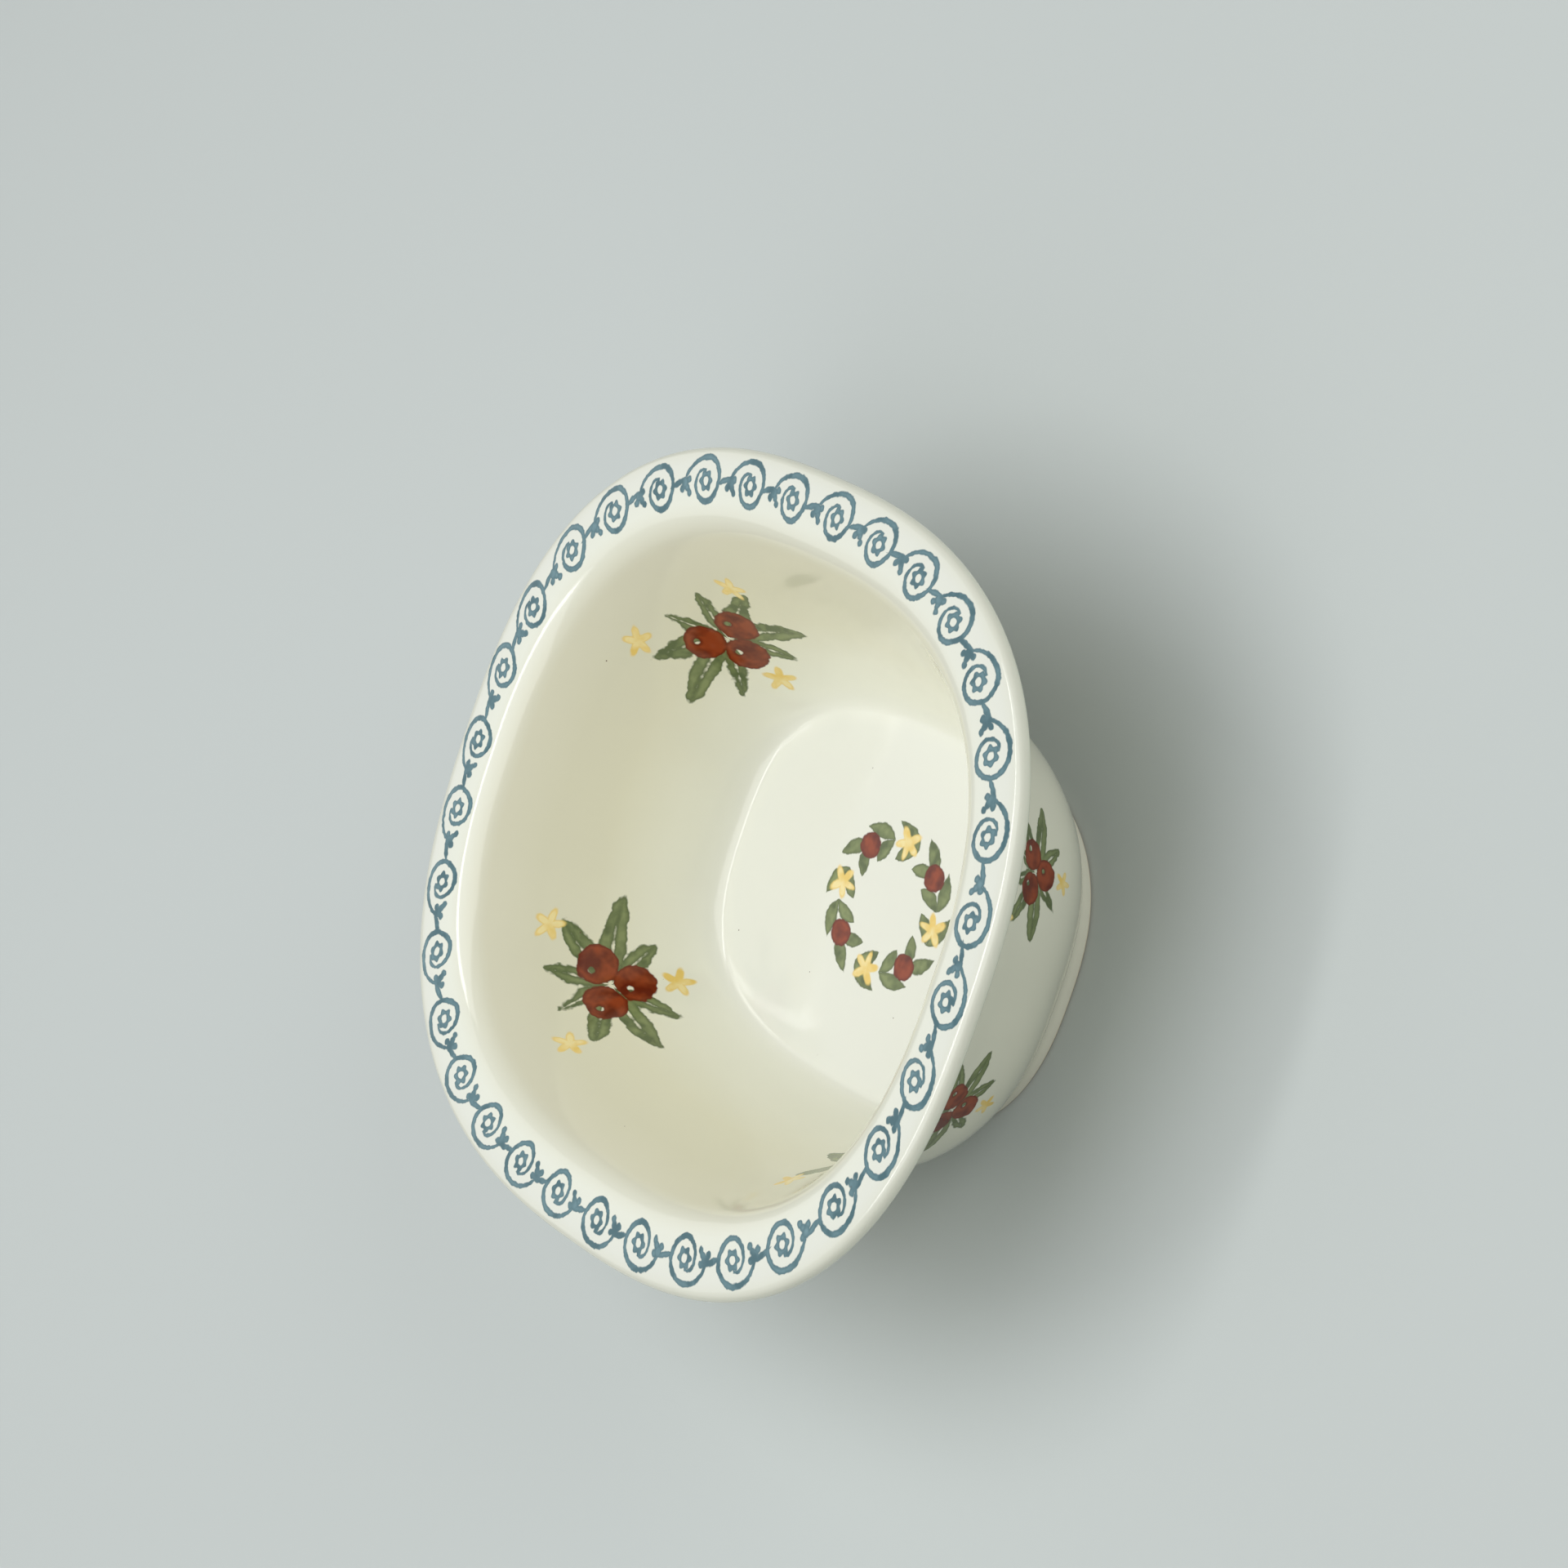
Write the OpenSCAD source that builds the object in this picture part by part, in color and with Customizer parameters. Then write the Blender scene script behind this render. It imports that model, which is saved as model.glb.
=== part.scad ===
// Deep pie dish in glazed earthenware, pressed in one piece.
// Millimetres. The dish stands on its foot at z = 0, its length along X.
//
// Every outline, from the lip to the foot, is a rounded rectangle of the same family,
// so the dish is a loft of outlines that follow one section. The section is drawn on
// the short side and is carried round to the long side in proportion.

/* [Overall] */
// Length over the rim
dish_l = 270; // [230:1:310]
// Width over the rim
dish_w = 228; // [200:1:260]
// Height from the table to the top of the rim
dish_h = 76; // [60:1:95]

/* [Rim] */
// Width of the rim's top, from the outside of the lip to where it turns down into the bowl
rim_w = 16.5; // [12:0.5:22]
// Thickness of the rim at the lip, which is a full round
lip_t = 4.8; // [3:0.2:7]
// Slope of the rim's slightly domed top where it meets the lip and the bowl, in degrees
rim_slope = 8; // [3:1:12]
// Radius of the soft edge between the rim and the bowl
edge_r = 12; // [8:0.5:15]
// Radius of the hollow under the rim, outside
under_r = 7; // [4:0.5:10]
// How square the rim's outline is: 2 is an ellipse, more is squarer
rim_square = 2.53; // [2.2:0.01:3]

/* [Bowl] */
// Lean of the wall from upright, just under the rim, in degrees
wall_lean = 36; // [30:1:40]
// Thickness of the wall under the rim
wall_t = 5; // [4:0.2:7]
// Length of the flat of the floor
floor_l = 154; // [140:1:160]
// Width of the flat of the floor
floor_w = 102; // [88:1:106]
// Height of the floor above the table
floor_h = 6.2; // [5:0.1:9]
// How far the inside of the wall runs down before it starts to curve
inside_run = 37; // [30:1:42]
// Length of the curve that turns the wall into the floor
floor_turn = 10; // [6:0.5:14]
// How far the outside of the wall runs down before it starts to curve
outside_run = 47; // [36:1:52]
// Length of the curve that turns the outside of the wall in to the foot
foot_turn = 27; // [20:1:32]
// Lean of the outside of the wall where it meets the foot, in degrees
turn_lean = 50; // [40:1:60]
// How square the bowl's outline is at the floor
bowl_square = 2.75; // [2.4:0.01:3.2]

/* [Foot] */
// Length of the foot ring
foot_l = 166; // [158:1:180]
// Width of the foot ring
foot_w = 114; // [108:1:124]
// Height of the foot ring
foot_h = 5.8; // [4.6:0.1:7]
// How far the wall stands out past the foot ring
foot_step = 1.2; // [0.6:0.1:2.5]
// Width of the foot ring where it stands on the table
ring_w = 7; // [5:0.5:9]
// Depth of the hollow inside the foot ring
foot_hollow = 2; // [1.5:0.1:2.6]
// Radius of the foot ring's two edges
ring_r = 1; // [0.4:0.1:1.2]
// How far the foot ring's outer face leans out towards its top
foot_flare = 0.3; // [0:0.1:0.5]
// How square the foot's outline is
foot_square = 2.55; // [2.3:0.01:3]

/* [Hidden] */

// Points round each outline, and steps along the curves of the section
around = 88;
arc_steps = 6;
wall_steps = 10;

glaze = "#efeee0";

lip_r = lip_t / 2;
// Radius of the rim's domed top, which is an arc from the lip to the soft edge
dome_r = (rim_w - lip_r * (1 - sin(rim_slope))) / (2 * sin(rim_slope));
// The wall's heading just under the rim: 0 runs inwards, 90 runs straight down
wall_turn = 90 - wall_lean;

// The section, walked inwards from the lip. A point is [inset from the rim's edge, height],
// and a heading of h degrees runs along [cos(h), -sin(h)].
function heading(h) = [cos(h), -sin(h)];
function below(h) = [-sin(h), -cos(h)];
// An arc of radius r that starts at p, heading h0, and curves down to heading h1
function arc(p, r, h0, h1, steps) =
    [for (i = [0:steps]) p + r * below(h0) - r * below(h0 + (h1 - h0) * i / steps)];
// A curve from p to q that leaves along a and arrives along b
function sweep(p, a, b, q, steps) =
    [for (i = [0:steps]) let (t = i / steps, s = 1 - t)
        s^3 * p + 3 * s^2 * t * (p + a) + 3 * s * t^2 * (q - b) + t^3 * q];
function last(list) = list[len(list) - 1];
function rest(list) = [for (i = [1:len(list) - 1]) list[i]];
function back(list) = [for (i = [len(list) - 1:-1:0]) list[i]];

// Lip and top of the rim
lip_top = [lip_r * (1 - sin(rim_slope)), dish_h - dome_r * (1 - cos(rim_slope))];
lip_mid = lip_top + lip_r * below(-rim_slope);
lip = arc(lip_mid - [0, lip_r], lip_r, -180, -rim_slope, arc_steps);
dome = arc(lip_top, dome_r, -rim_slope, rim_slope, 4);
edge = arc(last(dome), edge_r, rim_slope, wall_turn, arc_steps);

// Inside of the bowl, down to the flat of the floor
inside_top = last(edge);
floor_edge = [(dish_w - floor_w) / 2, floor_h];
inside = sweep(inside_top, inside_run * heading(wall_turn), floor_turn * heading(0),
               floor_edge, wall_steps);

// Outside: the underside of the rim, its hollow, and the wall down to the foot
outside_line = inside_top + wall_t * below(wall_turn);
under_z = lip_mid[1] - lip_r;
outside_top = let (z = under_z - under_r * (1 - cos(wall_turn)))
    [outside_line[0] + (outside_line[1] - z) / tan(wall_turn), z];
under = arc([outside_top[0] - under_r * sin(wall_turn), under_z], under_r, 0, wall_turn, 4);
wall_end = [(dish_w - foot_w) / 2 - foot_step, foot_h];
outside = sweep(outside_top, outside_run * heading(wall_turn),
                foot_turn * heading(90 - turn_lean), wall_end, wall_steps);

// A rounded-rectangle outline with half-length a, half-width b and squareness n, at height z
function outline(a, b, n, z) =
    [for (i = [0:around - 1]) let (t = 360 * i / around, c = cos(t), s = sin(t),
                                   r = (abs(c)^n + abs(s)^n)^(-1 / n))
        [a * r * c, b * r * s, z]];

// Outlines of the rim keep their distance from the rim's edge all round
function rim_outline(p) = outline(dish_l / 2 - p[0], dish_w / 2 - p[0], rim_square, p[1]);
// Outlines of the wall go from the one at its top to the one at its end, all in proportion
function wall_outline(p, top, end_a, end_b) =
    let (b = dish_w / 2 - p[0], top_b = dish_w / 2 - top[0],
         share = (top_b - b) / (top_b - end_b), top_a = dish_l / 2 - top[0])
    outline(top_a + share * (end_a - top_a), b,
            rim_square + share * (bowl_square - rim_square), p[1]);
// Outlines of the foot keep their distance from the foot ring's outer face, p[0] outwards
function foot_outline(p) = outline(foot_l / 2 + p[0], foot_w / 2 + p[0], foot_square, p[1]);

// Foot ring, walked from the hollow under the dish out to the wall: a round into the hollow,
// the ring's two rounded edges with its flat between them, its outer face, and the fine
// ledge under the wall's lower edge
hollow_r = foot_hollow - ring_r;
ledge = 0.6;
foot = [
    for (t = [0:30:60]) [-ring_w - ring_r - hollow_r * (1 - sin(t)), ring_r + hollow_r * cos(t)],
    for (t = [0:30:90]) [-ring_w - ring_r * cos(t), ring_r * (1 - sin(t))],
    for (t = [0:30:90]) [-ring_r * (1 - sin(t)), ring_r * (1 - cos(t))],
    [foot_flare, foot_h - ledge],
    [(foot_flare + foot_step) / 2, foot_h - ledge / 4]
];

rings = concat(
    [for (p = foot) foot_outline(p)],
    [for (p = back(rest(outside)))
        wall_outline(p, outside_top, foot_l / 2 + foot_step, foot_w / 2 + foot_step)],
    [for (p = back(under)) rim_outline(p)],
    [for (p = lip) rim_outline(p)],
    [for (p = rest(dome)) rim_outline(p)],
    [for (p = rest(edge)) rim_outline(p)],
    [for (p = rest(inside)) wall_outline(p, inside_top, floor_l / 2, floor_w / 2)]
);

// Skins a stack of outlines, and closes the first and the last one with a flat face
module loft(rings) {
    n = len(rings[0]);
    polyhedron(
        points = [for (r = rings) each r],
        faces = concat(
            [[for (i = [0:n - 1]) i]],
            [for (k = [0:len(rings) - 2], i = [0:n - 1]) let (j = (i + 1) % n)
                each [[k * n + i, (k + 1) * n + i, (k + 1) * n + j],
                      [k * n + i, (k + 1) * n + j, k * n + j]]],
            [[for (i = [n - 1:-1:0]) (len(rings) - 1) * n + i]]
        )
    );
}

module dish() {
    color(glaze) loft(rings);
}

dish();
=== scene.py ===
"""Deep pie dish in cream-glazed earthenware with a printed border, standing on its foot."""

from math import cos, pi, radians, sin, tan

import bpy
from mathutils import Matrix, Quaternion, Vector


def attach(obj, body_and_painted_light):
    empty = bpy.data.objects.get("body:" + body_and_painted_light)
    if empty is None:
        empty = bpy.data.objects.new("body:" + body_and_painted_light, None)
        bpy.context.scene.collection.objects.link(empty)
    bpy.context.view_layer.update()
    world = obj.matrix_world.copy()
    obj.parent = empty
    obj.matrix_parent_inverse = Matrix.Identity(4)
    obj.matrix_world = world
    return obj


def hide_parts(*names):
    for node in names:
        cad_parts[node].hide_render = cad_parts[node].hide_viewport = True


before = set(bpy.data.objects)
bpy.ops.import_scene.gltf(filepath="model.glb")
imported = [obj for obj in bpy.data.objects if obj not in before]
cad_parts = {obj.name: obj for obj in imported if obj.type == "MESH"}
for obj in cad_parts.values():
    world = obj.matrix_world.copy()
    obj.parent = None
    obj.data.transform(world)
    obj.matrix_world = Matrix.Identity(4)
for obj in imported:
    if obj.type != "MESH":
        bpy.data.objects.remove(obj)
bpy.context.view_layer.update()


# ---------------------------------------------------------------- camera
# It looks down into the bowl from the dish's near end, and is rolled so that the dish's width
# runs up the picture.
AIM = Vector((0.0272, 0.0310, 0.0755))
DISTANCE = 1.343
AZIMUTH, ELEVATION, ROLL = radians(8.26), radians(36.35), radians(75.96)
LENS_MM, SENSOR_MM = 112.6, 36
look = Vector((cos(ELEVATION) * cos(AZIMUTH), cos(ELEVATION) * sin(AZIMUTH), sin(ELEVATION)))
camera = bpy.data.objects.new("camera", bpy.data.cameras.new("camera"))
camera.data.lens = LENS_MM
camera.data.sensor_width = SENSOR_MM
camera.location = AIM + DISTANCE * look
camera.rotation_mode = "QUATERNION"
camera.rotation_quaternion = look.to_track_quat("Z", "Y") @ Quaternion((0, 0, 1), -ROLL)
bpy.context.collection.objects.link(camera)
bpy.context.scene.camera = camera


# ---------------------------------------------------------------- dish
# One piece of cream earthenware, pressed over a mould with its rim, wall and foot ring in one,
# printed with cut sponges and dipped in clear glaze. It stands loose on its foot ring.
# Its outlines are rounded rectangles that follow one section. Sizes are in mm.
DISH_L, DISH_W, DISH_H = 270, 228, 76
RIM_W, LIP_R, RIM_SLOPE = 16.5, 2.4, radians(8)
EDGE_R, UNDER_R = 12, 7
WALL_T, WALL_TURN = 5, radians(90 - 36)
FLOOR_L, FLOOR_W, FLOOR_H = 154, 102, 6.2
INSIDE_RUN, FLOOR_TURN = 37, 10
OUTSIDE_RUN, FOOT_TURN, TURN_LEAN = 47, 27, radians(50)
FOOT_L, FOOT_W, FOOT_H, FOOT_STEP = 166, 114, 5.8, 1.2
RING_W, RING_R, FOOT_HOLLOW, FOOT_FLARE, LEDGE = 7, 1, 2, 0.3, 0.6
# How square the outlines are: 2 is an ellipse, and more is squarer
RIM_SQUARE, BOWL_SQUARE, FOOT_SQUARE = 2.53, 2.75, 2.55


# The section is walked inwards from the lip. A point is (inset from the rim's edge, height), and
# a heading of 0 runs inwards, pi / 2 straight down.
def heading(h):
    return Vector((cos(h), -sin(h)))


def below(h):
    return Vector((-sin(h), -cos(h)))


def arc(p, r, h0, h1, steps):
    """Points of an arc from p, which curves down from heading h0 to heading h1."""
    return [p + r * below(h0) - r * below(h0 + (h1 - h0) * i / steps) for i in range(steps + 1)]


def sweep(p, a, b, q, steps):
    """Points of a curve from p to q that leaves along a and arrives along b."""
    ts = [i / steps for i in range(steps + 1)]
    return [
        (1 - t) ** 3 * p
        + 3 * (1 - t) ** 2 * t * (p + a)
        + 3 * (1 - t) * t * t * (q - b)
        + t**3 * q
        for t in ts
    ]


# The lip, the rim's domed top, the soft edge into the bowl, and the inside of the wall
dome_r = (RIM_W - LIP_R * (1 - sin(RIM_SLOPE))) / (2 * sin(RIM_SLOPE))
lip_top = Vector((LIP_R * (1 - sin(RIM_SLOPE)), DISH_H - dome_r * (1 - cos(RIM_SLOPE))))
lip_mid = lip_top + LIP_R * below(-RIM_SLOPE)
lip = arc(lip_mid - Vector((0, LIP_R)), LIP_R, -pi, -RIM_SLOPE, 14)
dome = arc(lip_top, dome_r, -RIM_SLOPE, RIM_SLOPE, 10)
edge = arc(dome[-1], EDGE_R, RIM_SLOPE, WALL_TURN, 12)
inside_top = edge[-1]
floor_edge = Vector(((DISH_W - FLOOR_W) / 2, FLOOR_H))
inside = sweep(
    inside_top, INSIDE_RUN * heading(WALL_TURN), FLOOR_TURN * heading(0), floor_edge, 34
)

# The hollow under the rim, and the outside of the wall
outside_line = inside_top + WALL_T * below(WALL_TURN)
under_z = lip_mid.y - LIP_R
under_end = under_z - UNDER_R * (1 - cos(WALL_TURN))
outside_top = Vector(
    (outside_line.x + (outside_line.y - under_end) / tan(WALL_TURN), under_end)
)
under = arc(
    Vector((outside_top.x - UNDER_R * sin(WALL_TURN), under_z)), UNDER_R, 0, WALL_TURN, 8
)
wall_end = Vector(((DISH_W - FOOT_W) / 2 - FOOT_STEP, FOOT_H))
outside = sweep(
    outside_top,
    OUTSIDE_RUN * heading(WALL_TURN),
    FOOT_TURN * heading(pi / 2 - TURN_LEAN),
    wall_end,
    30,
)

# The foot ring as (way out from its outer face, height): a round into the hollow under the
# dish, the ring's two rounded edges, its flared outer face, and the fine ledge under the wall
hollow_r = FOOT_HOLLOW - RING_R
hollow_edge = -RING_W - RING_R - hollow_r
turns = [radians(t) for t in (0, 18, 36, 54, 72, 90)]
foot = [(hollow_edge + hollow_r * sin(t), RING_R + hollow_r * cos(t)) for t in turns[:-1]]
foot += [(-RING_W - RING_R * cos(t), RING_R * (1 - sin(t))) for t in turns]
foot += [(-RING_R * (1 - sin(t)), RING_R * (1 - cos(t))) for t in turns]
foot += [(FOOT_FLARE * t, RING_R + (FOOT_H - LEDGE - RING_R) * t) for t in (0.5, 1)]
foot += [((FOOT_FLARE + FOOT_STEP) / 2, FOOT_H - LEDGE / 4)]

# Points round each outline
AROUND = 336
QUARTER = AROUND // 4


def outline(a, b, n, z):
    """A rounded rectangle of half-length a, half-width b and squareness n, at height z."""
    points = []
    for i in range(AROUND):
        c, s = cos(2 * pi * i / AROUND), sin(2 * pi * i / AROUND)
        r = (abs(c) ** n + abs(s) ** n) ** (-1 / n)
        points.append(Vector((a * r * c, b * r * s, z)))
    return points


def rim_outline(p):
    """An outline of the rim, which keeps its distance from the rim's edge all round."""
    return outline(DISH_L / 2 - p.x, DISH_W / 2 - p.x, RIM_SQUARE, p.y)


def wall_outline(p, top, end_a, end_b):
    """An outline of the wall, in proportion between the one at its top and the one at its end."""
    b, top_b, top_a = DISH_W / 2 - p.x, DISH_W / 2 - top.x, DISH_L / 2 - top.x
    share = (top_b - b) / (top_b - end_b)
    square = RIM_SQUARE + share * (BOWL_SQUARE - RIM_SQUARE)
    return outline(top_a + share * (end_a - top_a), b, square, p.y)


# Rings from the middle of the underside, over the rim, to the middle of the floor
hollow_a, hollow_b = FOOT_L / 2 + hollow_edge, FOOT_W / 2 + hollow_edge
hollow_rings = [
    outline(hollow_a * t, hollow_b * t, FOOT_SQUARE, FOOT_HOLLOW) for t in (0.02, 0.25, 0.5, 0.75)
]
foot_rings = [outline(FOOT_L / 2 + out, FOOT_W / 2 + out, FOOT_SQUARE, z) for out, z in foot]
outside_rings = [
    wall_outline(p, outside_top, FOOT_L / 2 + FOOT_STEP, FOOT_W / 2 + FOOT_STEP)
    for p in reversed(outside[1:])
]
under_rings = [rim_outline(p) for p in reversed(under)]
rim_rings = [rim_outline(p) for p in lip + dome[1:] + edge[1:]]
inside_rings = [wall_outline(p, inside_top, FLOOR_L / 2, FLOOR_W / 2) for p in inside[1:]]
floor_rings = [
    outline(FLOOR_L / 2 * t, FLOOR_W / 2 * t, BOWL_SQUARE, FLOOR_H)
    for t in (0.94, 0.8, 0.6, 0.4, 0.2, 0.02)
]
rings = hollow_rings + foot_rings + outside_rings + under_rings
lip_ring = len(rings) + len(lip) - 1
rings += rim_rings + inside_rings + floor_rings

# Where the print goes is measured on the surface. Both layers of places hold the way along the
# section from the top of the lip in mm, more than 0 into the bowl and less than 0 down the
# outside. With it, "border" holds the run along the stamps' centre line, in stamps, and "wall"
# the run along the wall from the nearest corner, in mm.
STAMPS, STAMP_INSET = 34, 10.5
SPRIG_WAY = 62


def running_length(outline_points):
    """The way round an outline from its first point to each next one, and back to the first."""
    lengths = [0.0]
    for i in range(AROUND):
        step = outline_points[(i + 1) % AROUND] - outline_points[i]
        lengths.append(lengths[-1] + step.length)
    return lengths


border_run = running_length(rim_outline(Vector((STAMP_INSET, 0))))
stamp_pitch = border_run[-1] / STAMPS
ring_run = [running_length(ring) for ring in rings]

section_way = [0.0]
for k in range(1, len(rings)):
    section_way.append(section_way[-1] + (rings[k][QUARTER] - rings[k - 1][QUARTER]).length)
lip_way = section_way[lip_ring]
floor_way = section_way[len(rings) - len(floor_rings) - 2] - lip_way

# On the outside of the wall the rings are shorter than the stamps' centre line
outer_ring = min(range(lip_ring), key=lambda k: abs(section_way[k] - lip_way + SPRIG_WAY))
outer_pitch = ring_run[outer_ring][-1] / STAMPS

MM = 0.001
points = [p * MM for ring in rings for p in ring]
faces, border_uv, wall_uv = [], [], []
for k in range(len(rings) - 1):
    for i in range(AROUND):
        j = (i + 1) % AROUND
        mid_corner = i // QUARTER * QUARTER + QUARTER // 2
        face = ((k, i, 0), (k, j, 1), (k + 1, j, 1), (k + 1, i, 0))
        faces.append([ring * AROUND + point for ring, point, _ in face])
        for ring, _, ahead in face:
            way_here = section_way[ring] - lip_way
            border_uv += [border_run[i + ahead] / stamp_pitch, way_here]
            wall_uv += [ring_run[ring][i + ahead] - ring_run[ring][mid_corner], way_here]
for ring in (0, len(rings) - 1):
    cap = [ring * AROUND + i for i in range(AROUND)]
    faces.append(cap[::-1] if ring == 0 else cap)
    border_uv += [0.0, section_way[ring] - lip_way] * AROUND
    wall_uv += [0.0, section_way[ring] - lip_way] * AROUND

mesh = bpy.data.meshes.new("glazed_dish")
mesh.from_pydata(points, [], faces)
for name, places in (("border", border_uv), ("wall", wall_uv)):
    mesh.uv_layers.new(name=name).data.foreach_set("uv", places)
mesh.shade_smooth()
dish = bpy.data.objects.new("glazed_dish", mesh)
bpy.context.collection.objects.link(dish)
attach(dish, "root")
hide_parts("dish")

# Cream earthenware under a clear, dipped gloss glaze, which gives hard bright highlights and a
# soft mirror of the lamps. Its colour holds painted shade, darker and warmer on the wall below
# the rim's edge, and painted light, lighter towards the floor. The colours were dabbed on under
# the glaze, so they have uneven tone and ragged edges, and the same gloss.
glaze = bpy.data.materials.new("clear_gloss_glaze_on_cream_earthenware")
glaze.use_nodes = True
tree = glaze.node_tree
tree.nodes.clear()


def hex_colour(text):
    """A linear colour from its sRGB hex value."""
    channels = [int(text[i : i + 2], 16) / 255 for i in (1, 3, 5)]
    linear = [c / 12.92 if c <= 0.04045 else ((c + 0.055) / 1.055) ** 2.4 for c in channels]
    return (*linear, 1.0)


def add(kind, *inputs, **settings):
    """Adds a node with its settings, and fills its inputs with values or other nodes."""
    node = tree.nodes.new("ShaderNode" + kind)
    for name, value in settings.items():
        setattr(node, name, value)
    for socket, value in zip(node.inputs, inputs):
        if isinstance(value, bpy.types.Node):
            value = value.outputs[0]
        if isinstance(value, bpy.types.NodeSocket):
            tree.links.new(value, socket)
        elif value is not None:
            socket.default_value = value
    return node


# A printed shape is the distance in mm to its edge, less than 0 inside it
def joined(shapes, blend=0.0):
    """Several printed shapes as one, which may blend a little where they meet."""
    nearest = shapes[0]
    for shape in shapes[1:]:
        nearest = add("Math", nearest, shape, blend, operation="SMOOTH_MIN")
    return nearest


def spot(place, centre, radius):
    """A round spot."""
    out = add("VectorMath", place, (*centre, 0), operation="DISTANCE").outputs["Value"]
    return add("Math", out, radius, operation="SUBTRACT")


def leaf(place, base, length, half_width, angle):
    """A pointed leaf that grows from its base at an angle in degrees."""
    place = add("VectorMath", place, (*base, 0), operation="SUBTRACT")
    c, s = cos(radians(angle)), sin(radians(angle))
    along = add("VectorMath", place, (c / length, s / length, 0), operation="DOT_PRODUCT")
    across = add("VectorMath", place, (-s, c, 0), operation="DOT_PRODUCT")
    across = add("Math", across.outputs["Value"], operation="ABSOLUTE")
    # At x of its length the leaf is 4x(1 - x) of its full width
    left = add("Math", along.outputs["Value"], -4.0 * half_width, 4.0 * half_width,
               operation="MULTIPLY_ADD")
    width = add("Math", along.outputs["Value"], left, operation="MULTIPLY")
    return add("Math", across, width, operation="SUBTRACT")


def blossom(place, centre, radius):
    """A blossom with five petals."""
    place = add("VectorMath", place, (*centre, 0), operation="SUBTRACT")
    out = add("VectorMath", place, operation="LENGTH").outputs["Value"]
    xy = add("SeparateXYZ", place)
    petal = add("Math", xy.outputs[1], xy.outputs[0], operation="ARCTAN2")
    petal = add("Math", petal, 5.0, 1.3, operation="MULTIPLY_ADD")
    petal = add("Math", petal, operation="COSINE")
    petal = add("Math", petal, 0.28 * radius, 0.72 * radius, operation="MULTIPLY_ADD")
    return add("Math", out, petal, operation="SUBTRACT")


# The sponge has pores about 1.7 mm wide, and takes up more and less colour in patches about
# 6 mm across. Both make a printed edge wander to each side by a fraction of a millimetre.
PORE, PATCH = 0.0017, 0.006
RAGGED, WANDER = 0.9, 2.8
surface = add("TexCoord").outputs["Object"]
pores = add("TexNoise", surface, None, 1 / PORE, 1.0)
patches = add("TexNoise", surface, None, 1 / PATCH, 2.0)
ragged = add("Math", pores, RAGGED, -RAGGED / 2, operation="MULTIPLY_ADD")
wander = add("Math", patches, WANDER, -WANDER / 2, operation="MULTIPLY_ADD")

# Border: 34 strikes of one stamp, a running scroll, clockwise round the rim. Each strike lies a
# fraction of a millimetre off its place. It is drawn from the middle of its loop, x clockwise
# and y out to the lip.
STAMP_WAY, STRIKE_START = 8.45, 13.5
SLIP_X, SLIP_Y = 1.0, 0.7
border = add("SeparateXYZ", add("UVMap", uv_map="border"))
way = border.outputs[1]
strike = add("Math", border.outputs[0], -1.0, STRIKE_START / stamp_pitch,
             operation="MULTIPLY_ADD")
stamp_run = add("Math", strike, operation="FRACT")
stamp_run = add("Math", stamp_run, stamp_pitch, -STRIKE_START, operation="MULTIPLY_ADD")
stamp_out = add("Math", STAMP_WAY, way, operation="SUBTRACT")
strike = add("Math", add("Math", strike, operation="FLOOR"), STAMPS, 0.0, operation="WRAP")
strike_chance = add("TexWhiteNoise", None, strike, noise_dimensions="1D")
slip = add("VectorMath", strike_chance.outputs["Color"], (SLIP_X, SLIP_Y, 0.0),
           (-SLIP_X / 2, -SLIP_Y / 2, 0.0), operation="MULTIPLY_ADD")
stamp_place = add("CombineXYZ", stamp_run, stamp_out, 0.0)
stamp_place = add("VectorMath", stamp_place, slip, operation="ADD")
stamp_xy = add("SeparateXYZ", stamp_place)
stamp_reach = add("VectorMath", stamp_place, operation="LENGTH").outputs["Value"]
stamp_turn = add("Math", stamp_xy.outputs[1], stamp_xy.outputs[0], operation="ARCTAN2")
stamp_turn_share = add("MapRange", stamp_turn, -pi, pi, 0.0, 1.0)

# One turn of the loop, which goes on into the curl inside it. Each list gives mm by the angle
# in degrees: how far the loop and the curl are from the stamp's middle, and half the width of
# the loop's stroke, which is thin where it leaves the leaf. None is over LOOP_MOST. The loop is
# cut where it starts, and the curl where it ends in the flower.
LOOP_MOST = 12
LOOP = ((-180, 4.8), (-150, 5.3), (-90, 5.85), (-30, 5.7), (15, 6.4), (60, 6.85), (100, 6.95),
        (135, 7.8), (158, 8.85), (180, 10.3))
CURL = ((-180, 2.4), (60, 2.4), (95, 2.9), (120, 3.7), (150, 4.3), (180, 4.8))
STROKE = ((-180, 0.66), (-120, 0.84), (-60, 0.92), (0, 0.82), (60, 0.92), (105, 0.86),
          (140, 0.72), (180, 0.6))
CURL_STROKE = 0.6
LOOP_START, LOOP_START_R = radians(172), 9.0
CURL_END, CURL_END_R = radians(92), 3.0
loop_lines = []
for stops in (LOOP, CURL, STROKE):
    node = add("FloatCurve", 1.0, stamp_turn_share)
    line = node.mapping.curves[0]
    for angle, distance in stops[1:-1]:
        line.points.new((angle + 180) / 360, distance / LOOP_MOST)
    line.points[0].location = (0, stops[0][1] / LOOP_MOST)
    line.points[-1].location = (1, stops[-1][1] / LOOP_MOST)
    node.mapping.update()
    loop_lines.append(node)
loop_line, curl_line, stroke_line = loop_lines
loop = add("Math", loop_line, -LOOP_MOST, stamp_reach, operation="MULTIPLY_ADD")
loop = add("Math", loop, operation="ABSOLUTE")
loop = add("Math", stroke_line, -LOOP_MOST, loop, operation="MULTIPLY_ADD")
before_loop = add("Math", stamp_turn, LOOP_START_R, -LOOP_START_R * LOOP_START,
                  operation="MULTIPLY_ADD")
loop = add("Math", loop, before_loop, operation="MAXIMUM")
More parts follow.
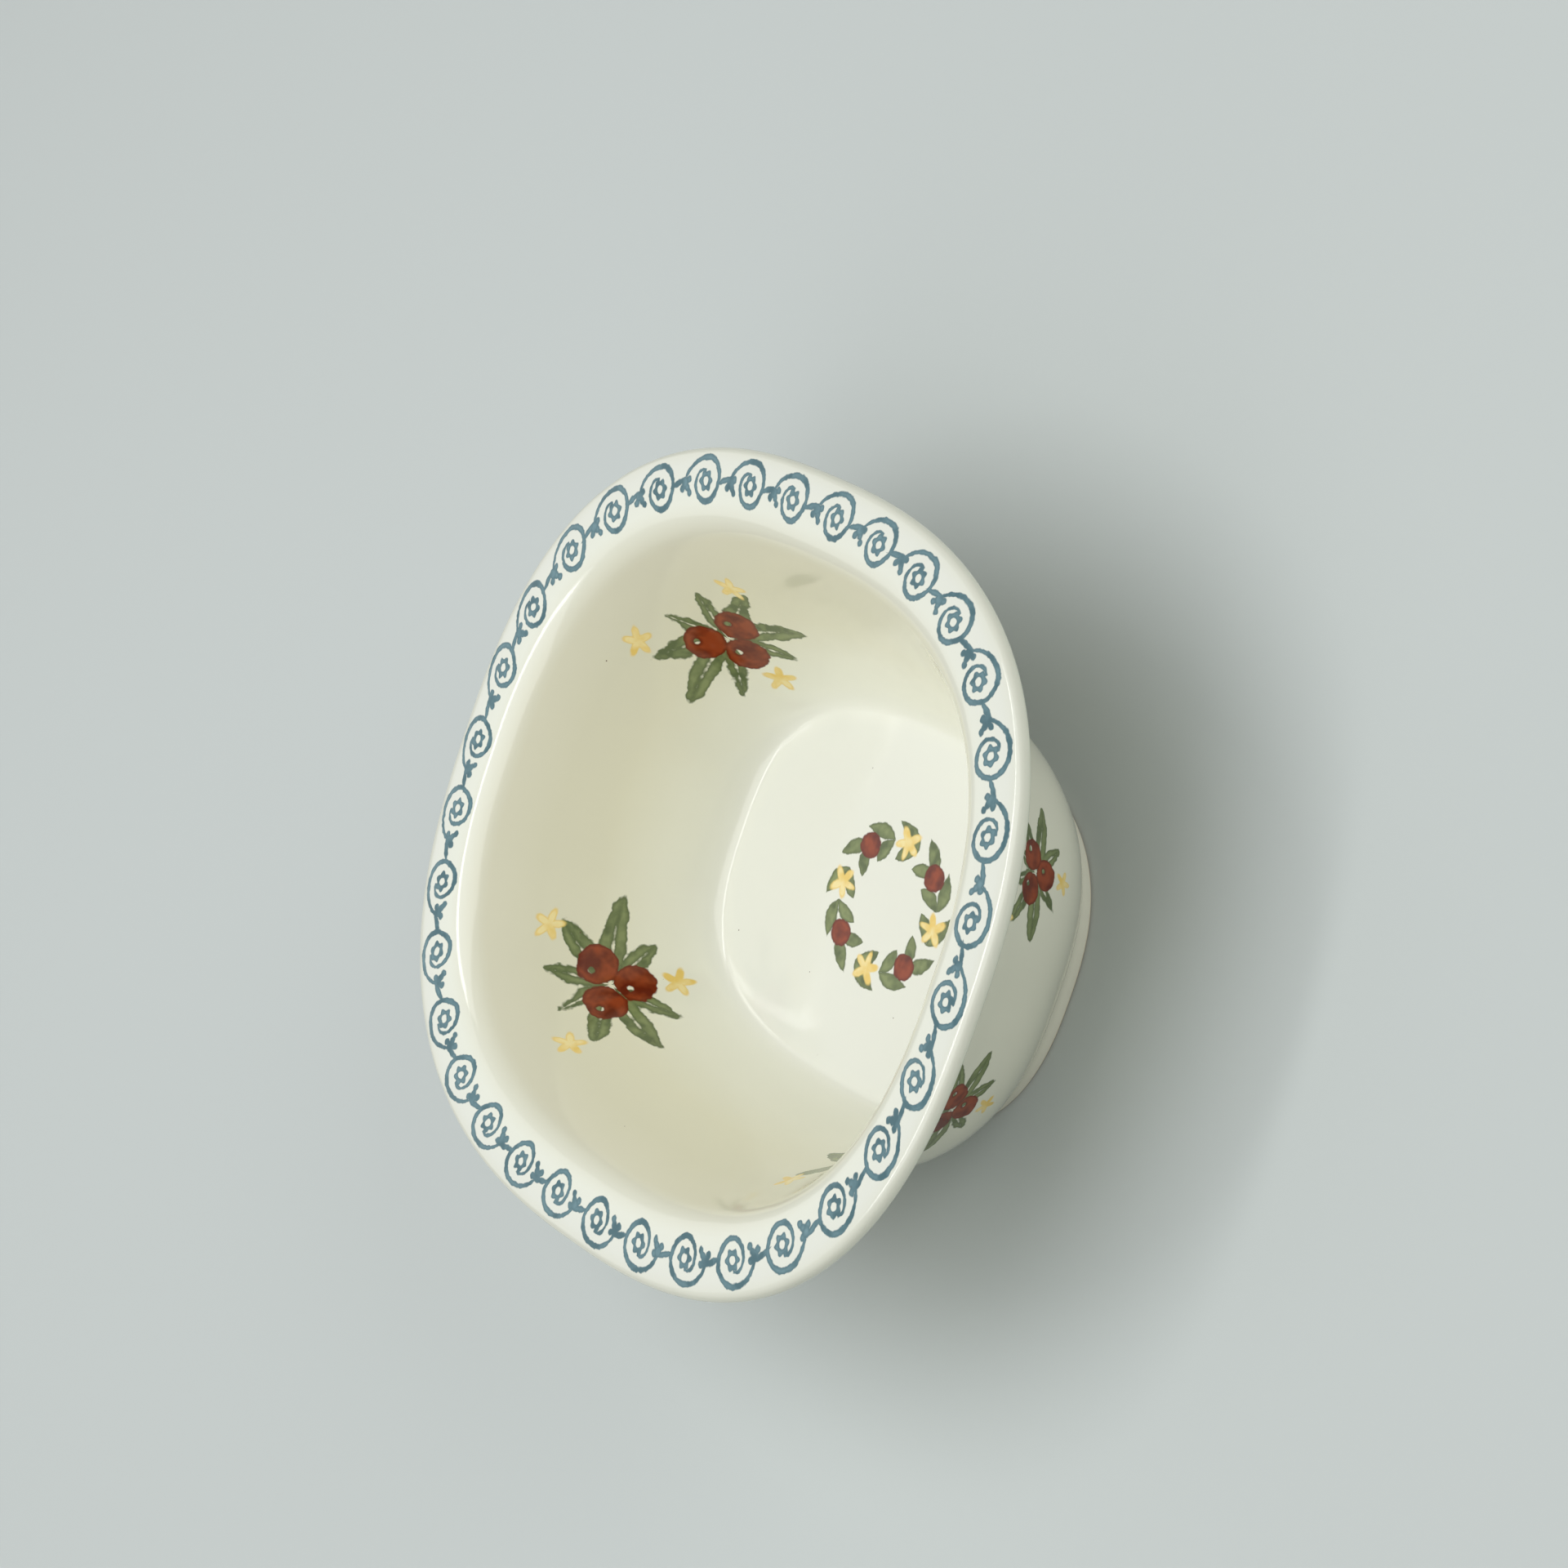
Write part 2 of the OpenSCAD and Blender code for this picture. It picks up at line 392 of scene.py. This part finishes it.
curl = add("Math", curl_line, -LOOP_MOST, stamp_reach, operation="MULTIPLY_ADD")
curl = add("Math", curl, operation="ABSOLUTE")
curl = add("Math", curl, CURL_STROKE, operation="SUBTRACT")
past_curl = add("Math", stamp_turn, -CURL_END_R, CURL_END_R * CURL_END,
                operation="MULTIPLY_ADD")
curl = add("Math", curl, past_curl, operation="MAXIMUM")

# The flower that the curl winds in to: a ring with six lobes and an open middle
FLOWER_R, FLOWER_LOBE, FLOWER_MIDDLE_R = 2.95, 0.4, 1.2
lobes = add("Math", add("Math", stamp_turn, 6.0, operation="MULTIPLY"), operation="COSINE")
flower = add("Math", lobes, -FLOWER_LOBE, stamp_reach, operation="MULTIPLY_ADD")
flower = add("Math", flower, FLOWER_R, operation="SUBTRACT")
middle = add("Math", FLOWER_MIDDLE_R, stamp_reach, operation="SUBTRACT")
flower = add("Math", flower, middle, operation="MAXIMUM")

# A leaf of blunt lobes and its stem, where one strike joins the next. They cross from one to the
# other, so their run starts again past them, and they slip with neither.
JOIN_END = 4.0
join_run = add("Math", stamp_run, JOIN_END, JOIN_END - stamp_pitch, operation="WRAP")
join_place = add("CombineXYZ", join_run, stamp_out, 0.0)
stem = leaf(join_place, (-17.0, -0.8), 9.0, 0.95, 17)
lobed_leaf = joined([
    spot(join_place, (-9.9, 0.3), 1.65),
    spot(join_place, (-8.0, 1.1), 1.1),
    spot(join_place, (-8.9, -1.2), 1.15),
    spot(join_place, (-7.9, -2.7), 1.1),
    spot(join_place, (-11.3, -1.4), 1.15),
], 0.8)
border_shape = joined([loop, curl, flower, stem, lobed_leaf])
border_shape = add("Math", border_shape, ragged, operation="ADD")

# Sprigs: berries, leaves and blossoms, at the four corners inside the bowl, and eight smaller
# ones evenly round the outside. x runs along the wall from the middle of a sprig, y up it.
OUTER_SPRIGS = 8
INNER_SCALE, OUTER_SCALE = 1.12, 0.76
wall = add("SeparateXYZ", add("UVMap", uv_map="wall"))
stamps_apart = STAMPS / OUTER_SPRIGS
outer_run = add("Math", border.outputs[0], stamps_apart, 0.0, operation="WRAP")
outer_run = add("Math", outer_run, outer_pitch, -stamps_apart / 2 * outer_pitch,
                operation="MULTIPLY_ADD")
is_outside = add("Math", way, 0.0, operation="LESS_THAN")
sprig_x = add("Mix", is_outside, None, wall.outputs[0], outer_run)
sprig_y = add("Math", SPRIG_WAY, add("Math", way, operation="ABSOLUTE"), operation="SUBTRACT")
sprig_scale = add("Mix", is_outside, None, 1 / INNER_SCALE, 1 / OUTER_SCALE)
sprig_place = add("VectorMath", add("CombineXYZ", sprig_x, sprig_y, 0.0), operation="SCALE")
tree.links.new(sprig_scale.outputs[0], sprig_place.inputs["Scale"])
sprig_xy = add("SeparateXYZ", sprig_place)
sprig_reach = add("VectorMath", sprig_place, operation="LENGTH").outputs["Value"]
sprig_turn = add("Math", sprig_xy.outputs[1], sprig_xy.outputs[0], operation="ARCTAN2")
sprig_turn_share = add("MapRange", sprig_turn, -pi, pi, 0.0, 1.0)

# Eight leaves spread from the middle, with tips at these angles in degrees and lengths in mm.
# One line gives how far the leaves reach by the angle: each comes down from its tip to nothing
# LEAF_SPREAD degrees off. The other gives the angle from the nearest midrib, where the sponge is
# cut away in a vein that tapers to the tip. Neither line goes over LEAF_MOST.
TIPS = ((-169, 27), (-128, 20), (-50, 20.5), (-11, 27), (28, 24), (66, 18), (112, 18.5),
        (151, 24))
LEAF_SPREAD, LEAF_MOST = 33, 32
# The way past the edge runs along a leaf. Times the reach over LEAF_ACROSS it is about the way
# across the leaf. VEIN_TAPER is half the vein's width for each mm short of the edge.
LEAF_ACROSS, VEIN_TAPER = 56, 0.028
leaf_lines = []
for kind in ("edge", "midrib"):
    node = add("FloatCurve", 1.0, sprig_turn_share)
    line = node.mapping.curves[0]
    for angle in range(-180, 181, 3):
        off = [abs((angle - tip + 180) % 360 - 180) for tip, _ in TIPS]
        if kind == "midrib":
            value = min(off) / LEAF_MOST
        else:
            value = max(r * (1 - a / LEAF_SPREAD) for a, (_, r) in zip(off, TIPS))
            value = max(value, 0) / LEAF_MOST
        if angle in (-180, 180):
            line.points[0 if angle < 0 else -1].location = ((angle + 180) / 360, value)
        else:
            line.points.new((angle + 180) / 360, value)
    for point in line.points:
        point.handle_type = "VECTOR"
    node.mapping.update()
    leaf_lines.append(node)
edge_line, midrib_line = leaf_lines
past_edge = add("Math", edge_line, -LEAF_MOST, sprig_reach, operation="MULTIPLY_ADD")
across_leaf = add("Math", sprig_reach, 1 / LEAF_ACROSS, operation="MULTIPLY")
leaves = add("Math", past_edge, across_leaf, operation="MULTIPLY")
off_rib = add("Math", midrib_line, sprig_reach, operation="MULTIPLY")
off_rib = add("Math", off_rib, radians(LEAF_MOST), operation="MULTIPLY")
off_rib = add("Math", past_edge, VEIN_TAPER, off_rib, operation="MULTIPLY_ADD")
vein = add("Math", 0.0, off_rib, operation="SUBTRACT")
leaves = add("Math", leaves, wander, operation="ADD")
sprig_leaves = add("Math", leaves, vein, operation="MAXIMUM")

# Three berries, each with a prick left bare for its shine, and three blossoms
BERRIES = ((-6.4, 2.6), (6.2, 3.2), (0.2, -6.8))
BERRY_R, PRICK_R, PRICK_X, PRICK_Y = 5.9, 0.9, 1.6, 1.8
sprig_berries = joined([spot(sprig_place, centre, BERRY_R) for centre in BERRIES])
pricks = joined([spot(sprig_place, (x + PRICK_X, y + PRICK_Y), PRICK_R) for x, y in BERRIES])
off_prick = add("Math", 0.0, pricks, operation="SUBTRACT")
sprig_berries = add("Math", sprig_berries, wander, operation="ADD")
sprig_berries = add("Math", sprig_berries, off_prick, operation="MAXIMUM")
sprig_blossoms = joined([
    blossom(sprig_place, (-19, 15), 4.6),
    blossom(sprig_place, (19.5, 17), 4.6),
    blossom(sprig_place, (0.5, -18.5), 4.8),
])

# Wreath on the floor: pairs of leaves round an oval, with berries and blossoms on it in turn.
# The way round the oval is cut into equal shares, one for each motif.
WREATH_R, WREATH_STRETCH = 19, 1.22
LEAF_PAIRS, BERRY_COUNT, BLOSSOM_COUNT = 12, 4, 4
oval = add("VectorMath", surface, (1 / MM / WREATH_STRETCH, 1 / MM, 0.0), operation="MULTIPLY")
off_oval = add("VectorMath", oval, operation="LENGTH").outputs["Value"]
off_oval = add("Math", off_oval, WREATH_R, operation="SUBTRACT")
oval_xy = add("SeparateXYZ", oval)
round_oval = add("Math", oval_xy.outputs[1], oval_xy.outputs[0], operation="ARCTAN2")
round_oval = add("Math", round_oval, WREATH_R, operation="MULTIPLY")
shares = []
for count, shift in ((LEAF_PAIRS, 0.0), (BERRY_COUNT, 0.5), (BLOSSOM_COUNT, 0.0)):
    half = pi * WREATH_R / count
    share = add("Math", round_oval, 2 * half * shift, operation="ADD")
    share = add("Math", share, half, -half, operation="WRAP")
    shares.append(share)
pair_share, berry_share, blossom_share = shares
either_side = add("Math", off_oval, operation="ABSOLUTE")
pair_place = add("CombineXYZ", pair_share, either_side, 0.0)
wreath_leaves = leaf(pair_place, (-4.8, 0.0), 10.5, 2.2, 32)
berry_place = add("CombineXYZ", berry_share, off_oval, 0.0)
blossom_place = add("CombineXYZ", blossom_share, off_oval, 0.0)
wreath_berries = spot(berry_place, (0, 0), 3.9)
wreath_blossoms = blossom(blossom_place, (0, 0), 5.0)

on_floor = add("Math", way, floor_way, operation="GREATER_THAN")
leaf_shape = add("Mix", on_floor, None, sprig_leaves, wreath_leaves)
berry_shape = add("Mix", on_floor, None, sprig_berries, wreath_berries)
blossom_shape = add("Mix", on_floor, None, sprig_blossoms, wreath_blossoms)
leaf_shape = add("Math", leaf_shape, ragged, operation="ADD")
berry_shape = add("Math", berry_shape, ragged, operation="ADD")
blossom_shape = add("Math", blossom_shape, ragged, operation="ADD")

# The glazed body's colour by the way in mm, from the foot up the outside, over the rim and down
# to the floor. It holds painted shade and light: darker up the outside towards the lip, darker
# and warmer just below the rim's edge into the bowl, and lighter down the lower wall to the
# floor.
BODY_AND_PAINTED_LIGHT = ((-110, "#e9e8d5"), (-85, "#e5e5d2"), (-60, "#e0e0cd"), (-30, "#e1e1ce"), (-5, "#dadbc8"),
        (3, "#e1e4d9"), (14, "#e5e8da"), (26, "#dedcc5"), (42, "#dfddc4"), (60, "#e6e4cb"),
        (78, "#eeeedb"), (92, "#f0f1e1"), (104, "#e8eadf"))
BODY_START, BODY_END = -110, 150
body_and_painted_light = add("ValToRGB", add("MapRange", way, BODY_START, BODY_END, 0.0, 1.0))
ramp = body_and_painted_light.color_ramp.elements
for i, (stop_way, shade) in enumerate(BODY_AND_PAINTED_LIGHT):
    # The ramp has two stops to begin with. A new one goes in last and then takes its place
    if i >= len(ramp):
        ramp.new(0.999)
    ramp[i].position = (stop_way - BODY_START) / (BODY_END - BODY_START)
    ramp[i].color = hex_colour(shade)

# The inks, each from a thin dab to a full one: a full one lies in the patches, and in a band
# along the edge of the print, where the colour pooled. The strikes of the border hold more and
# less of theirs. The yellow ink has the softest edge.
POOL_INNER, POOL_OUTER = 1.2, 0.2
STRIKE_INK = 0.45
dab = add("MapRange", patches, 0.4, 0.62, 0.0, 0.8)
strike_dab = add("Math", strike_chance.outputs["Value"], STRIKE_INK, dab,
                 operation="MULTIPLY_ADD")
# The inks go over the body's colour with its painted shade and light
colour = body_and_painted_light
for shape, dabbed, soft, thin, full in (
    (leaf_shape, dab, 0.25, "#84905f", "#4c5b38"),
    (blossom_shape, dab, 0.6, "#f3e2a4", "#e9c55c"),
    (berry_shape, dab, 0.25, "#91401f", "#531506"),
    (border_shape, strike_dab, 0.2, "#698d95", "#3d656e"),
):
    pooled = add("MapRange", shape, -POOL_INNER, -POOL_OUTER, 0.0, 0.75)
    tone = add("Math", dabbed, pooled, operation="MAXIMUM")
    tone = add("MixRGB", tone, hex_colour(thin), hex_colour(full))
    amount = add("MapRange", shape, soft, -soft, 0.0, 1.0, interpolation_type="SMOOTHSTEP")
    colour = add("MixRGB", amount, colour, tone)

# A few specks of iron in the clay show through as brown dots, up to 0.6 mm across. A box of
# clay 12 mm each way holds one.
CLAY_BOX, SPECK_R = 0.012, 0.0003
clay = add("VectorMath", surface, (1 / CLAY_BOX, 1 / CLAY_BOX, 1 / CLAY_BOX),
           operation="MULTIPLY")
speck_chance = add("TexWhiteNoise", add("VectorMath", clay, operation="FLOOR"))
clay = add("VectorMath", clay, operation="FRACTION")
off_speck = add("VectorMath", clay, speck_chance.outputs["Color"], operation="DISTANCE")
speck_size = add("Math", speck_chance.outputs["Value"], SPECK_R / CLAY_BOX, operation="MULTIPLY")
speck = add("Math", off_speck.outputs["Value"], speck_size, operation="LESS_THAN")
colour = add("MixRGB", speck, colour, hex_colour("#6b5a48"))

# The foot ring is wiped clean of glaze where it stands, and shows the matt biscuit there, up to
# 0.5 mm. The glaze is whole from 0.9 mm up.
WIPED_TO, GLAZED_FROM = 0.0005, 0.0009
GLAZE_ROUGHNESS, BISCUIT_ROUGHNESS = 0.09, 0.75
height = add("SeparateXYZ", surface).outputs[2]
wiped = add("MapRange", height, GLAZED_FROM, WIPED_TO, 0.0, 1.0)
colour = add("MixRGB", wiped, colour, hex_colour("#dccfb4"))
roughness = add("MapRange", wiped, 0.0, 1.0, GLAZE_ROUGHNESS, BISCUIT_ROUGHNESS)

# The glaze lies in faint waves about 20 mm long, which bend the reflections a little
WAVE, WAVE_DEPTH = 0.020, 0.0004
waves = add("TexNoise", surface, None, 1 / WAVE, 0.0)
waves = add("Bump", 0.35, WAVE_DEPTH, None, waves)

GLAZE_IOR = 1.52
finish = add("BsdfPrincipled")
finish.inputs["IOR"].default_value = GLAZE_IOR
tree.links.new(colour.outputs[0], finish.inputs["Base Color"])
tree.links.new(roughness.outputs[0], finish.inputs["Roughness"])
tree.links.new(waves.outputs[0], finish.inputs["Normal"])
add("OutputMaterial", finish)
mesh.materials.append(glaze)


# ---------------------------------------------------------------- floor
# A sheet of pale grey studio paper, laid flat under the dish. Its matt face gives one even tone,
# takes the dish's soft shadow and mirrors nothing.
REACH = 6
corners = [(-REACH, -REACH, 0), (REACH, -REACH, 0), (REACH, REACH, 0), (-REACH, REACH, 0)]
floor_mesh = bpy.data.meshes.new("floor")
floor_mesh.from_pydata(corners, [], [(0, 1, 2, 3)])
ground = bpy.data.objects.new("floor", floor_mesh)
bpy.context.collection.objects.link(ground)
paper = bpy.data.materials.new("pale_grey_studio_paper")
paper.use_nodes = True
paper_face = paper.node_tree.nodes["Principled BSDF"]
paper_face.inputs["Base Color"].default_value = hex_colour("#c4cbc9")
paper_face.inputs["Roughness"].default_value = 0.7
floor_mesh.materials.append(paper)


# ---------------------------------------------------------------- lamps
# Softboxes 1.8 m from the dish: a wide one overhead, one behind it that its rim and floor
# mirror, a strip above that one for the thin bright lines along the curves of the glaze, and
# two that fill the shade of the walls and don't show in the glaze.
LAMP_AWAY = 1.8
for name, way_to_lamp, width, depth, power in (
    ("overhead softbox", (0, 0, 1), 2.0, 2.0, 20),
    ("back softbox", (-0.78, -0.12, 0.61), 1.4, 1.4, 4.5),
    ("strip light", (-0.43, -0.07, 0.90), 1.3, 0.2, 5),
    ("low fill", (0.75, 0.6, 0.3), 1.0, 1.0, 11),
    ("side fill", (0.1, -0.75, 0.65), 1.4, 1.4, 6.5),
):
    lamp = bpy.data.objects.new(name, bpy.data.lights.new(name, "AREA"))
    lamp.data.shape = "RECTANGLE"
    lamp.data.size = width
    lamp.data.size_y = depth
    lamp.data.energy = power
    away = Vector(way_to_lamp).normalized()
    lamp.location = AIM + LAMP_AWAY * away
    lamp.rotation_euler = away.to_track_quat("Z", "Y").to_euler()
    lamp.visible_camera = False
    lamp.visible_glossy = "fill" not in name
    bpy.context.collection.objects.link(lamp)

# The light that the studio's walls throw back
world = bpy.data.worlds.new("studio")
bpy.context.scene.world = world
world.use_nodes = True
world.node_tree.nodes["Background"].inputs["Color"].default_value = (0.2, 0.2, 0.2, 1)

bpy.context.scene.view_settings.view_transform = "Standard"
